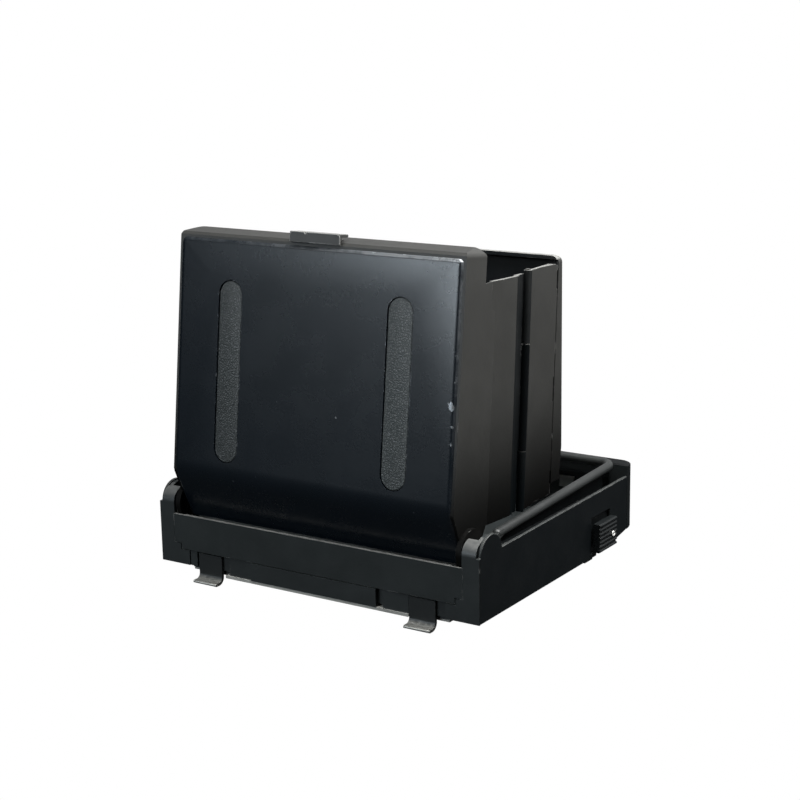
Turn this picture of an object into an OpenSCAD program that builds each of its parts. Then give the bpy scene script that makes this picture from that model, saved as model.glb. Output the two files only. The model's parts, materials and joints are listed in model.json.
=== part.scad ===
// Folding focusing hood with a drop-in base for a medium-format camera body.
// X is the width, Y runs from the front of the base to the rear, Z is up.

/* [Base] */
// width of the base over the side plates
base_w = 104; // [96:1:112]
// length of the base, front posts to rear wall
base_d = 89.5; // [80:0.5:100]
// height of the side plates
wall_h = 18.5; // [14:0.5:24]
// height of the rear wall
rear_h = 21.4; // [16:0.2:26]
// thickness of the side plates and the front plate
plate_t = 1.0; // [0.6:0.1:1.6]
// clear half width inside the base
clear_x = 46.1; // [45.8:0.1:46.4]
// radius of the rear corners
corner_r = 5; // [2:0.5:8]
// height of the rear bottom edge above the seat
rear_lift = 3.6; // [0:0.2:6]

/* [Front plate and hooks] */
// top edge of the front plate
apron_top = 14.4; // [12:0.1:16]
// bottom edge of the front plate
apron_bot = 4.4; // [3:0.1:7]
// half width of the front plate
apron_x = 47.2; // [46:0.1:48]
// outer edge of each front hook from the middle
hook_out = 38.8; // [34:0.1:41]
// inner edge of each front hook from the middle
hook_in = 30.8; // [26:0.1:33]

/* [Pivot] */
// lid pivot, distance behind the front face
piv_y = 6.2; // [5:0.1:8]
// lid pivot, height above the seat
piv_z = 17; // [15:0.1:19]
// radius of the lid pivot pins
pin_r = 1.5; // [1:0.1:2]
// running clearance of pins in their bores
run = 0.05; // [0.02:0.01:0.1]

/* [Lid] */
// lean of the open lid from upright
lid_lean = 6.8; // [0:0.1:10]
// height of the lid tray above the pivot
lid_len = 76.9; // [60:0.1:90]
// half width of the lid tray
lid_x = 45.3; // [44:0.1:45.6]
// wall of the lid tray
lid_wall = 1.0; // [0.8:0.1:1.6]
// distance of the lid's outer face in front of the pivot
lid_face = 9.2; // [7:0.1:11]
// height of the bend in the lid's face above the pivot
crease_u = 9.7; // [6:0.1:14]
// half width of the glossy cover
cover_x = 44.9; // [43:0.1:45.2]
// width of each grip strip
strip_w = 7.5; // [4:0.1:12]
// middle of each grip strip from the centre line
strip_x = 27.1; // [18:0.1:34]
// lower end of the grip strips above the pivot
strip_lo = 14.1; // [11:0.1:30]
// upper end of the grip strips above the pivot
strip_hi = 63.4; // [50:0.1:70]

/* [Folding walls] */
// lean of the three upright hinge lines
hinge_lean = 4.04; // [0:0.02:7]
// lid hinge line of the front panel, at the reference height
hinge_y = 19.4; // [18:0.1:24]
// spacing of the hinge lines along the hood
hinge_s = 17.36; // [14:0.02:19]
// lid and back hinge lines, distance from the centre line
hinge_x = 43.4; // [42:0.1:44]
// middle hinge line, distance from the centre line
mid_x = 45.3; // [43.5:0.1:45.4]
// thickness of the folding panels
panel_t = 1.0; // [0.8:0.1:1.2]
// radius of the hinge knuckles
knuckle_r = 1.0; // [0.8:0.1:1.2]
// radius of the upright hinge pins
wire_r = 0.5; // [0.4:0.05:0.6]
// bottom edge of the folding walls
panel_lo = 20.6; // [19:0.1:24]
// rear face of the back panel
back_y = 55.9; // [54:0.1:58]
// top of the back panel
back_top = 86; // [80:0.1:90]

/* [Bail and knob] */
// radius of the bail wire
bail_r = 1.3; // [1:0.05:1.6]
// bail arms, distance from the centre line
bail_x = 48.2; // [47.9:0.05:48.4]
// rise of the bail arms towards the rear
bail_rise = 2.2; // [0:0.1:4]
// length of the release knob
knob_l = 10.4; // [8:0.1:12]
// height of the release knob
knob_h = 8.3; // [6:0.1:9]
// how far the release knob stands out
knob_out = 2.5; // [1.5:0.1:3.5]

/* [Magnifier] */
// radius of the magnifier lens
lens_r = 16.9; // [12:0.1:19]
// thickness of the magnifier lens
lens_t = 6; // [4:0.1:6.2]

/* [Hidden] */
hw = base_w / 2;
// inner face of the side walls, distance from the centre line
wall_in = 49.9;
// outer face of the side walls, under the side plates
wall_out = hw - plate_t;
// front face of the rear wall, and of the step in its inside
rear_in = 83.7;
step_y = 84.9;
// where the underside starts to rise
lift_y = 68;
// underside of the blocks and top of the mount plate
foot_z = -0.8;
// lug and eye pockets beside the pivot
lug_out = 46.85;
screw_xs = [-25, -10, 10, 25];
screw_y = 6.2;
screw_r = 0.8;
screw_head_r = 1.7;
// reference height of the hinge-line frame
ref_z = 80;
bow = atan((mid_x - hinge_x) / hinge_s);
link = hinge_s / cos(bow);
steel = [0.72, 0.72, 0.7];
black = [0.1, 0.1, 0.11];
gloss = [0.05, 0.05, 0.08];
satin = [0.2, 0.2, 0.19];
grey = [0.36, 0.36, 0.37];
glass = [0.75, 0.85, 0.9, 0.5];

// ---------- helpers ----------
// the children and their mirror image
module both() {
  for (m = [0, 1]) mirror([m, 0, 0]) children();
}
module left() {
  mirror([1, 0, 0]) children();
}
// side outline in y and z, extruded from x0 to x1
module yz(x0, x1) {
  translate([x0, 0, 0]) rotate([90, 0, 90]) linear_extrude(x1 - x0) children();
}
module xcyl(x0, x1, y, z, r) {
  translate([x0, y, z]) rotate([0, 90, 0]) cylinder(h = x1 - x0, r = r, $fn = 48);
}
module ycyl(y0, y1, x, z, r, n) {
  translate([x, y0, z]) rotate([-90, 0, 0]) cylinder(h = y1 - y0, r = r, $fn = n);
}
module zcyl(z0, z1, r, n) {
  translate([0, 0, z0]) cylinder(h = z1 - z0, r = r, $fn = n);
}
module box(a, b) {
  translate(a) cube([b[0] - a[0], b[1] - a[1], b[2] - a[2]]);
}
// close-wound spring along z: n turns of wire radius w on radius r
module coil(n, r, w) {
  for (i = [0:n - 1]) translate([0, 0, i * w * 1.8])
    rotate_extrude($fn = 36) translate([r, 0]) circle(r = w, $fn = 14);
}
// lid frame: y is the depth behind the pivot, z the height along the lid
module lid_at() {
  translate([0, piv_y, piv_z]) rotate([-lid_lean, 0, 0]) children();
}
// hinge-line frame: y along the hood, z up along the hinge lines
module hinges_at() {
  translate([0, hinge_y, ref_z]) rotate([-hinge_lean, 0, 0]) children();
}
// link frames of the right-hand panels: x outwards, y along the panel, z up the hinge line
module link1() {
  hinges_at() translate([hinge_x, 0, 0]) rotate([0, 0, -bow]) children();
}
module link2() {
  hinges_at() translate([mid_x, hinge_s, 0]) rotate([0, 0, bow]) children();
}
module link3() {
  hinges_at() translate([hinge_x, 2 * hinge_s, 0]) children();
}
// height in the hinge-line frame of world height z at distance s from the lid hinge line
function hz(z, s) = (z - ref_z + s * sin(hinge_lean)) / cos(hinge_lean);
// the same on the back hinge line
function hb(z) = hz(z, 2 * hinge_s);
// world y of the point s behind the lid hinge line at world height z
function ys(s, z) = hinge_y + (s + (z - ref_z) * sin(hinge_lean)) / cos(hinge_lean);

// ---------- base ----------
module side_outline() {
  polygon([[0, 0], [lift_y, 0], [84.2, 3.1], [84.2, 17.7], [12, 17.7], [12, 15], [0, 15]]);
}
module side_wall() {
  // wall with its ear cheek
  yz(wall_in, wall_out) union() {
    difference() {
      side_outline();
      translate([-1, 12]) square([13.5, 8]);
    }
    square([12.6, piv_z]);
    intersection() {
      translate([piv_y, piv_z]) circle(r = 5, $fn = 48);
      square([20, 40]);
    }
  }
  // low rail under the bail arm
  yz(clear_x, wall_in) polygon([[0, 0], [83.8, 0], [83.8, 3.4], [12, 16.2], [12, 10.2], [0, 10.2]]);
  // thin guard between the bail arm and the folding walls
  yz(clear_x - 0.1, clear_x + 0.5) polygon([[12.6, 2], [78.4, 2], [78.4, 19], [12.6, 19]]);
}
module front_post() {
  post_in = 46.9;
  post_top = 17.4;
  round_r = 3.8;
  box([post_in, 0, 0], [wall_out, 2.6, post_top]);
  box([wall_out - 0.01, 0, 0], [hw, 0.5, post_top]);
  // rounded top
  intersection() {
    xcyl(post_in, wall_out, round_r, post_top, round_r);
    box([post_in - 1, -1, post_top - 0.1], [hw, round_r, 22]);
  }
}
// beam, bottom rail and the stepped blocks under the front plate
module front_beam() {
  block_top = apron_bot - 0.15;
  box([-47, 1.0, 0], [47, 3.2, 13.5]);
  box([-clear_x - 1, 1.0, 0], [clear_x + 1, 9.5, 3]);
  box([-20.4, -0.2, foot_z], [20.7, 5, block_top]);
  box([-28, 0.3, foot_z], [-20.3, 5, block_top]);
  box([22.6, 0.3, foot_z], [hook_in - 0.15, 5, block_top]);
  box([-42, 1.6, foot_z], [42, 9.5, 0.1]);
  box([42, 0, 0], [47.3, 3, block_top]);
  box([-47.3, 0, 0], [-42, 3, block_top]);
  box([-41.85, 0.3, 0], [-39.5, 3, block_top]);
  both() box([45, 0, 0], [47.3, 3, 5.95]);
}
module rear_wall() {
  difference() {
    linear_extrude(rear_h) difference() {
      union() {
        translate([-hw, rear_in]) square([base_w, base_d - rear_in - corner_r]);
        translate([-hw + corner_r, rear_in]) square([base_w - 2 * corner_r, base_d - rear_in]);
        for (m = [-1, 1]) translate([m * (hw - corner_r), base_d - corner_r]) circle(r = corner_r, $fn = 64);
      }
      translate([-60, rear_in - 13.7]) square([120, 13.7]);
    }
    // inner step for the closed lid, and the lift tab's notch
    box([-clear_x, 83, 3], [clear_x, step_y, 30]);
    box([-9, 83, 17.2], [9, 86.2, 30]);
  }
  // small ledge on the wall's inside
  both() box([9.5, 84.3, 17.0], [clear_x, step_y + 0.1, 17.6]);
}
module base_frame() {
  color(black) difference() {
    union() {
      both() {
        side_wall();
        front_post();
      }
      front_beam();
      rear_wall();
      // floor behind the folding walls
      yz(-clear_x - 1, clear_x + 1) polygon([[57, 1], [lift_y, 1], [85, 1], [85, 4.2], [72, 2.5], [57, 2.3]]);
      // web behind the front beam, under the lid
      box([-43.9, 3.1, 11.2], [43.9, 8.8, 12.3]);
    }
    // raised rear underside
    translate([-60, lift_y, 0]) rotate([atan(rear_lift / (base_d - lift_y)), 0, 0])
      translate([0, 0, -10]) cube([120, 40, 10]);
    both() {
      // pivot cavities: lid lug, bail eye
      xcyl(44, lug_out, piv_y, piv_z, 6.3);
      xcyl(46, wall_in - 0.01, piv_y, piv_z, 3.5);
      yz(46.5, wall_in - 0.01) polygon([[piv_y, piv_z - 3.5], [20, 14.1], [20, 30], [piv_y, 30]]);
      xcyl(wall_in - 1, wall_out + 1, piv_y, piv_z, pin_r);
      // room for the bail's corners
      box([44, 78.4, 4.3], [wall_in - 0.01, rear_in - 0.01, 30]);
      // seat clearance around the hooks
      box([hook_in - 0.1, -1, -1], [hook_out + 0.6, 1.6, 0]);
      box([hook_in - 0.1, -1, -1], [hook_out + 0.6, 1.0, apron_bot - 0.15]);
    }
    // seat of the front plate
    box([-apron_x, -1, 6.1], [apron_x, plate_t, apron_top]);
    // knob slot through the right wall, latch pocket in the right rail
    box([48.8, 64.6, -1], [hw, 70.6, 4.9]);
    box([46.8, 59.6, -1], [49.6, 77.4, 2.1]);
    // screw bores for the mount plate
    for (x = screw_xs) translate([x, screw_y, -1]) cylinder(h = 3.4, r = screw_r, $fn = 24);
    // lightening pockets on the front beam's inside
    for (x = [-36, -18, 0, 18, 36]) box([x - 7, 2.2, 4.6], [x + 7, 3.3, 12]);
  }
}

module side_plate() {
  edge_y = 0.5;
  difference() {
    yz(wall_out, hw) difference() {
      union() {
        polygon([[edge_y, 0], [lift_y, 0], [83.5, 2.65], [83.5, wall_h], [edge_y, wall_h - 1]]);
        // ear around the pivot
        translate([piv_y + 0.1, piv_z]) circle(r = 5.4, $fn = 64);
        translate([edge_y, 0]) square([10.7, piv_z]);
      }
      translate([edge_y - 5.5, wall_h]) square([5.5, 10]);
      translate([edge_y - 5.5, -1]) square([5.5, 30]);
    }
  }
}
module knob_window() {
  box([hw - 2, 61.3, 1.2], [hw + 1, 72.9, 11.7]);
  box([hw - 2, 64.6, -1], [hw + 1, 72.9, 2]);
}
module side_plate_r() {
  color(black) difference() {
    side_plate();
    knob_window();
  }
}
module side_plate_l() {
  color(black) left() side_plate();
}
module front_plate() {
  foot_x = 44.8;
  step_z = 6.1;
  color(black) difference() {
    translate([0, plate_t, 0]) rotate([90, 0, 0]) linear_extrude(plate_t) polygon([
      [-apron_x, apron_top], [apron_x, apron_top], [apron_x, step_z], [foot_x, step_z],
      [foot_x, apron_bot], [-foot_x, apron_bot], [-foot_x, step_z], [-apron_x, step_z]]);
    // relief for the lid's pivot lugs
    both() xcyl(43.5, lug_out, piv_y, piv_z, 6.2);
  }
}
module mount_plate() {
  plate_lo = -1.6;
  color(steel) difference() {
    union() {
      box([-29.3, -0.1, plate_lo], [hook_in - 0.15, 9.2, foot_z]);
      box([-42, 2.0, plate_lo], [42, 9.2, foot_z]);
    }
    for (x = screw_xs) translate([x, screw_y, 0]) {
      zcyl(-2, 0, screw_r, 24);
      translate([0, 0, plate_lo]) cylinder(h = 0.6, r1 = screw_head_r, r2 = screw_r, $fn = 24);
    }
  }
}
// tab with a tongue rolled forwards under the base
module hook() {
  roll_y = -1.2;
  roll_z = -1.6;
  yz(hook_in, hook_out) union() {
    translate([0.2, -1.7]) square([0.8, apron_bot + 1.4]);
    difference() {
      translate([roll_y, roll_z]) circle(r = 2.2, $fn = 48);
      translate([roll_y, roll_z]) circle(r = 1.4, $fn = 48);
      translate([-5, roll_z]) square([10, 5]);
      translate([roll_y - 5, -5]) square([5, 5]);
    }
    translate([-2.3, -3.8]) square([1.15, 0.8]);
    translate([-2.3, -3.4]) circle(r = 0.4, $fn = 24);
  }
}
module hook_r() {
  color(steel) hook();
}
module hook_l() {
  color(steel) left() hook();
}
module plate_screws() {
  color(steel) for (x = screw_xs) translate([x, screw_y, 0]) difference() {
    union() {
      translate([0, 0, -1.6]) cylinder(h = 0.6, r1 = screw_head_r, r2 = screw_r, $fn = 24);
      zcyl(-1.01, 2.19, screw_r, 24);
    }
    box([-1.4, -0.2, -2], [1.4, 0.2, -1.35]);
  }
}
// two small keeper plates on the rear wall's inside
module rear_bracket() {
  color(steel) both() box([29.6, 84.2, 12.2], [34.4, step_y, 15.6]);
}
module lid_pin() {
  xcyl(43.0, wall_out, piv_y, piv_z, pin_r);
}
module lid_pin_r() {
  color(steel) lid_pin();
}
module lid_pin_l() {
  color(steel) left() lid_pin();
}
module lid_spring() {
  translate([38.6, piv_y, piv_z]) rotate([0, 90, 0]) coil(6, 1.6, 0.4);
  // inner turns
  xcyl(38.2, 43.0, piv_y, piv_z, 1.3);
}
module lid_spring_r() {
  color(steel) lid_spring();
}
module lid_spring_l() {
  color(steel) left() lid_spring();
}

// ---------- bail ----------
bail_y0 = 15.5;
bail_z0 = 19.55;
bail_bend = 4;
bail_end = 82.2;
// straight length of an arm
bail_arm_l = (bail_end - bail_bend - bail_y0) / cos(bail_rise);
module bail_at() {
  translate([0, bail_y0, bail_z0]) rotate([bail_rise, 0, 0]) children();
}
module bail_arm() {
  // flattened and pierced front end of the wire
  difference() {
    union() {
      xcyl(bail_x - bail_r, bail_x + bail_r, piv_y, piv_z, 3.1);
      yz(bail_x - 1.15, bail_x + 1.15) polygon([
        [piv_y + 1, piv_z - 1.6], [piv_y + 1, piv_z + 2.9], [9.4, 18.9],
        [bail_y0 + 1.4, bail_z0 + 0.95], [bail_y0 + 1.4, bail_z0 - 0.7], [10.5, 17.0]]);
    }
    xcyl(bail_x - 3, bail_x + 3, piv_y, piv_z, pin_r + run);
  }
  bail_at() {
    ycyl(0, bail_arm_l, bail_x, 0, bail_r, 32);
    // corner
    translate([bail_x - bail_bend, bail_arm_l, 0]) intersection() {
      rotate_extrude($fn = 96) translate([bail_bend, 0]) circle(r = bail_r, $fn = 32);
      box([0, 0, -3], [10, 10, 3]);
    }
  }
}
module bail() {
  bar_x = bail_x - bail_bend;
  color(satin) {
    both() bail_arm();
    bail_at() translate([-bar_x, bail_arm_l + bail_bend, 0]) rotate([0, 90, 0])
      cylinder(h = 2 * bar_x, r = bail_r, $fn = 32);
  }
}

// ---------- release knob and body latch ----------
knob_y0 = 61.9;
knob_z0 = 1.7;
module release_knob() {
  grip_x = hw + knob_out - 0.4;
  color(black) {
    box([hw + 0.3, knob_y0, knob_z0], [grip_x, knob_y0 + knob_l, knob_z0 + knob_h]);
    box([49.5, 65.5, 2.9], [hw + 0.4, 69.7, 4.5]);
    // seven grip ribs
    for (i = [0:6]) ycyl(knob_y0, knob_y0 + knob_l, grip_x, knob_z0 + 0.5 + i * (knob_h - 1) / 6, 0.42, 20);
  }
}
module body_latch() {
  color(steel) difference() {
    union() {
      box([47.2, 61.0, 0.3], [49.2, 72.0, 1.7]);
      box([47.2, 63.0, -2.4], [49.2, 66.0, 0.4]);
      box([47.2, 65.9, -2.4], [49.2, 68.4, -1.5]);
    }
    box([47, 67.6, -2.5], [49.3, 69, -2.0]);
  }
}
module latch_spring() {
  color(steel) translate([48.2, 72.4, 1.0]) rotate([-90, 0, 0]) {
    translate([0, 0, 0.4]) coil(12, 0.65, 0.22);
    zcyl(0, 5, 0.5, 20);
  }
}

// ---------- lid ----------
tray_corner = 2.6;
// magnifier hinge height above the pivot
mag_z = 64;
module tray_outline() {
  polygon([
    [-8.3, 9.3], [-8.6, 10.2], [-8.6, 74.9], [-8.0, 75.7], [-2.3, lid_len], [-1.2, lid_len],
    [1.3, 75.0], [1.3, 67.4], [2.6, 62.8], [6.9, 60.6], [7.3, 38], [8.4, 13], [8.4, 6],
    [5, 0], [3, -3.2], [-1.2, -3.2]]);
}
module tray_hollow() {
  polygon([
    [-7.1, 10.4], [-7.1, 74.3], [-2.4, 75.5], [-0.9, 75.5], [20, 73.5], [20, -20],
    [0.4, -20], [0.4, -3.3]]);
}
// long hole with round ends, w wide
module slot(w) {
  z0 = strip_lo + strip_w / 2;
  z1 = strip_hi - strip_w / 2;
  translate([-w / 2, z0]) square([w, z1 - z0]);
  translate([0, z0]) circle(r = w / 2, $fn = 64);
  translate([0, z1]) circle(r = w / 2, $fn = 64);
}
// pockets of the grip strips, d deep in the face of the lid
module strip_hole(d) {
  for (m = [-1, 1]) translate([m * strip_x, -lid_face - 1, 0]) rotate([-90, 0, 0])
    linear_extrude(1 + d) mirror([0, 1]) slot(strip_w + 0.3);
}
// front view with rounded upper corners, for trimming: half width x, straight up to z, radius r
module rounded_top(x, z, r) {
  box([-x, -20, -10], [x, 20, z]);
  box([-x + r, -20, -10], [x - r, 20, z + 7]);
  for (m = [-1, 1]) ycyl(-20, 20, m * (x - r), z, r, 40);
}
module tray_shell() {
  difference() {
    intersection() {
      yz(-lid_x, lid_x) tray_outline();
      rounded_top(lid_x, lid_len - 2.6, tray_corner);
    }
    yz(-lid_x + lid_wall, lid_x - lid_wall) tray_hollow();
    // thinner skin where the wall panels hinge
    both() yz(lid_x - lid_wall - 0.1, lid_x - 0.6) polygon([[1.6, 66], [20, 66], [20, -1], [1.6, -1]]);
    // slot for the lift tab's stem
    box([-6.4, -7.3, 70], [6.4, -5.4, 80]);
  }
}
module tray_lugs() {
  // pivot lugs, each with a stiffening rib beside it
  both() {
    xcyl(lid_x - 0.35, 46.5, 0, 0, 5.9);
    box([lid_x - 1.0, -3, -2], [lid_x - 0.5, 5, 14]);
  }
  // magnifier hinge lugs
  for (x = [-13.5, 10.5]) yz(x, x + 3) union() {
    translate([-4, mag_z]) circle(r = 1.9, $fn = 32);
    polygon([[-7.4, 61.6], [-4, 62.1], [-4, 65.9], [-7.4, 66.4]]);
  }
  // magnifier catch guide, open towards the magnifier
  for (m = [-1, 1]) box([m * 6.9 - 0.8, -7.3, 13.6], [m * 6.9 + 0.8, -2.9, 19.4]);
}
module lid_tray() {
  color(satin) difference() {
    union() {
      lid_at() {
        tray_shell();
        // recessed skin above the flange, up to the wall panel
        both() yz(lid_x - 1.0, lid_x - 0.5) polygon([[0.5, 60], [0.5, 67.6], [5.6, 68.2], [5.9, 60]]);
        tray_lugs();
      }
      // lugs of the wall panel hinges
      both() hinges_at() translate([hinge_x, 0, 0]) for (z = [[-58.5, -54], [-33, -27], [-8.6, -4.6]])
        translate([0, 0, z[0]]) linear_extrude(z[1] - z[0]) union() {
          circle(r = knuckle_r, $fn = 32);
          translate([0, -2.6]) square([lid_x - hinge_x - 0.4, 2.6]);
        }
    }
    lid_at() {
      both() {
        xcyl(40, 50, 0, 0, pin_r + run);
        xcyl(37.7, 43.4, 0, 0, 2.35);
      }
      xcyl(-16, 16, -4, mag_z, 1.0);
      strip_hole(1.3);
    }
    both() hinges_at() translate([hinge_x, 0, 0]) zcyl(-60, -3, wire_r, 24);
  }
}
module cover_outline() {
  polygon([
    [-lid_face, crease_u], [-lid_face, 74.1], [-lid_face + 0.4, 74.5], [-8.6, 74.5],
    [-8.6, 10.2], [-8.3, 9.3], [-1.2, -3.2], [-2.1, -3.5]]);
}
module lid_cover() {
  color(gloss) lid_at() difference() {
    intersection() {
      yz(-cover_x, cover_x) cover_outline();
      rounded_top(cover_x, 72.9, 1.6);
    }
    strip_hole(1.3);
    // relief for the lift tab's lip
    box([-8.6, -10, 74.2], [8.6, -5, 76]);
  }
}
module grip_strip() {
  lid_at() translate([strip_x, -lid_face + 0.15, 0]) rotate([-90, 0, 0])
    linear_extrude(1.15) mirror([0, 1]) slot(strip_w);
}
module grip_strip_r() {
  color(grey) grip_strip();
}
module grip_strip_l() {
  color(grey) left() grip_strip();
}
module lid_tab() {
  lip_x = 8;
  color(satin) lid_at() difference() {
    union() {
      box([-lip_x, -9.6, 75.0], [lip_x, -8.95, 77.9]);
      box([-lip_x, -9.6, 77.1], [lip_x, -5.8, 77.9]);
      // stem
      box([-6, -6.8, 66.5], [6, -5.8, 77.2]);
    }
    box([-3.3, -11, 77.3], [-2.4, -8.6, 79]);
    for (m = [-1, 1]) box([m * 4 - 0.8, -8, 67.5], [m * 4 + 0.8, -5, 70.5]);
  }
}
module tab_spring() {
  color(steel) lid_at() {
    box([-3.2, -7.1, 60.5], [3.2, -6.8, 65.8]);
    box([-1.4, -7.1, 65.7], [1.4, -6.8, 66.4]);
  }
}
module hinge_wire_f() {
  hinges_at() translate([hinge_x, 0, 0]) zcyl(-58.5, -4.6, wire_r, 24);
}
module hinge_wire_fr() {
  color(steel) hinge_wire_f();
}
module hinge_wire_fl() {
  color(steel) left() hinge_wire_f();
}

// ---------- magnifier, folded against the inside of the lid ----------
lens_z = 42;
module magnifier_frame() {
  rim_r = 19.6;
  color(black) lid_at() difference() {
    union() {
      ycyl(-6.1, -1.1, 0, lens_z, rim_r, 96);
      yz(-10.1, 10.1) polygon([[-5.1, 50], [-2.9, 50], [-2.9, mag_z], [-5.1, mag_z]]);
      for (x = [-10.1, 4]) xcyl(x, x + 6.1, -4, mag_z, 1.6);
      box([-4.6, -5.1, 20.8], [4.6, -3.3, 25]);
    }
    ycyl(-8, 2, 0, lens_z, lens_r, 96);
    xcyl(-12, 12, -4, mag_z, 1.0 + run);
    box([-3.9, -8, 58], [3.9, 0, 70]);
  }
}
module magnifier_lens() {
  // both faces bulge from a rim of this half thickness
  edge = 0.9;
  bulge = lens_t / 2 - edge;
  face_r = (lens_r * lens_r + bulge * bulge) / (2 * bulge);
  color(glass) lid_at() translate([0, -3.6, lens_z]) rotate([-90, 0, 0]) intersection() {
    cylinder(h = lens_t, r = lens_r, center = true, $fn = 96);
    translate([0, 0, lens_t / 2 - face_r]) sphere(r = face_r, $fn = 160);
    translate([0, 0, face_r - lens_t / 2]) sphere(r = face_r, $fn = 160);
  }
}
module magnifier_pin() {
  color(steel) lid_at() xcyl(-13.5, 13.5, -4, mag_z, 1.0);
}
module magnifier_spring() {
  color(steel) lid_at() translate([-3.2, -4, mag_z]) rotate([0, 90, 0]) difference() {
    union() {
      coil(10, 1.45, 0.36);
      zcyl(0, 5.8, 1.4, 24);
    }
    zcyl(-1, 8, 1.0, 24);
  }
}
module magnifier_catch() {
  color(black) lid_at() {
    box([-5.8, -6.8, 14.5], [5.8, -3.0, 19.0]);
    box([-3.6, -6.8, 18.9], [3.6, -5.5, 21.8]);
    // thumb ribs
    for (i = [0:2]) translate([-4.5, -3.0, 15.4 + i * 1.3]) rotate([0, 90, 0])
      cylinder(h = 9, r = 0.35, $fn = 16);
  }
}

// ---------- folding wall panels (right side; the left is mirrored) ----------
// ends of the long middle knuckle
mid_k0 = hz(36.9, hinge_s);
mid_k1 = hz(65.3, hinge_s);
mid_knuckle_r = knuckle_r + 0.1;
pin_bore = wire_r + run;
// top edges of the panels at the middle hinge line
top1 = 83.9;
top2 = 84.5;
// heights of the back panel's hinge lugs
back_lugs = [[24.3, 27.1], [47, 53], [77.4, 82]];
module front_panel() {
  // rear edge of the plate, where the inset hinge leaf starts, and ends of the leaf
  s1 = link - 3.7;
  s2 = link - 1.4;
  s3 = link - 0.6;
  // where the plate starts to thin, so that the folded panels clear each other
  s_thin = link - 6.4;
  z0 = hz(panel_lo, s1);
  z1 = hz(top1 - 0.2, s1);
  link1() {
    intersection() {
      yz(-panel_t / 2, panel_t / 2)
        polygon([[1.35, hz(panel_lo, 1.4)], [s1, z0], [s1, z1], [1.35, hz(top1, 1.4)]]);
      translate([0, 0, -80]) linear_extrude(100) polygon([
        [-panel_t, 0], [panel_t / 2, 0], [panel_t / 2, s_thin],
        [0.1, s1], [0.1, s1 + 1], [-panel_t, s1 + 1]]);
    }
    yz(-panel_t / 2 - 0.8, -panel_t / 2 + 0.05) polygon([
      [s1 - 1.2, z0], [s2, hz(panel_lo, link)], [s2, mid_k0], [s3, mid_k0],
      [s3, mid_k1], [s2, mid_k1], [s2, hz(top1 - 0.2, link)], [s1 - 1.2, z1]]);
    // knuckles on the lid's hinge line
    for (z = [[-53.6, -45], [-16.5, -9.0]]) difference() {
      union() {
        zcyl(z[0], z[1], knuckle_r, 32);
        box([-0.5, 0, z[0]], [0.5, 1.6, z[1]]);
      }
      zcyl(z[0] - 1, z[0] + 19, pin_bore, 24);
    }
    // long middle knuckle
    translate([0, link, 0]) difference() {
      union() {
        zcyl(mid_k0, mid_k1, mid_knuckle_r, 32);
        box([-1.3, -1.4, mid_k0], [-0.4, -0.2, mid_k1]);
      }
      zcyl(-50, -5, wire_r, 24);
    }
  }
}
module rear_panel() {
  s0 = 0.7;
  s1 = link - 0.15;
  gap = 0.3;
  // skin brought out flush with the back panel's flange
  flush = 1.75;
  link2() difference() {
    union() {
      yz(-panel_t / 2, panel_t / 2) difference() {
        polygon([
          [s0, hz(panel_lo, hinge_s)], [s1, hb(panel_lo + 0.4)], [s1, hb(top2 - 1.6)],
          [s1 - 2, hb(top2 - 0.7)], [s0, hz(top2, hinge_s)]]);
        translate([-1, mid_k0 - 0.4]) square([2.5, mid_k1 - mid_k0 + 0.8]);
        for (z = back_lugs) translate([link - 1.45, hb(z[0] - gap)])
          square([3, hb(z[1] + gap) - hb(z[0] - gap)]);
      }
      difference() {
        intersection() {
          yz(0, flush) polygon([
            [s0, hz(panel_lo, hinge_s)], [s1, hb(panel_lo + 0.4)], [s1, hb(top2 - 1.6)],
            [s1 - 2, hb(top2 - 0.7)], [s0, hz(top2, hinge_s)]]);
          translate([0, 0, -80]) linear_extrude(100)
            polygon([[0.3, link - 10.3], [panel_t / 2, link - 9], [flush, link - 1.0], [0.3, link - 1.0]]);
        }
        for (z = back_lugs) translate([0, link - 1.45, hb(z[0] - gap)])
          cube([3, 3, hb(z[1] + gap) - hb(z[0] - gap)]);
      }
      // knuckles above and below the front panel's long one
      for (z = [[hz(panel_lo, hinge_s), mid_k0 - gap], [mid_k1 + gap, hz(top2, hinge_s) + 0.1]]) {
        zcyl(z[0], z[1], mid_knuckle_r, 32);
        box([-0.5, 0, z[0]], [0.5, 1.2, z[1]]);
      }
      // knuckles of the rear hinge
      translate([0, link, 0]) for (z = [[27.4, 35], [64, 71.6]]) zcyl(hb(z[0]), hb(z[1]), knuckle_r, 32);
    }
    zcyl(-70, 20, pin_bore, 24);
    translate([0, link, 0]) zcyl(-70, 20, pin_bore, 24);
  }
}
module mid_wire() {
  link1() translate([0, link, 0]) zcyl(hz(panel_lo, hinge_s), hz(top2, hinge_s) + 0.4, wire_r, 24);
}
module front_panel_r() {
  color(satin) front_panel();
}
module front_panel_l() {
  color(satin) left() front_panel();
}
module rear_panel_r() {
  color(satin) rear_panel();
}
module rear_panel_l() {
  color(satin) left() rear_panel();
}
module mid_wire_r() {
  color(steel) mid_wire();
}
module mid_wire_l() {
  color(steel) left() mid_wire();
}

// ---------- back panel ----------
// plate with its forward return at the top, and a lower edge bent forwards
module back_plate_outline() {
  polygon([
    [back_y, back_top - 0.6], [back_y - 0.6, back_top], [back_y - 2.4, back_top],
    [back_y - 2.4, back_top - 1], [back_y - 1, back_top - 1.3], [back_y - 1, 33.4],
    [back_y - 2.6, 24], [back_y - 1.6, 24], [back_y, 33]]);
}
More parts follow.
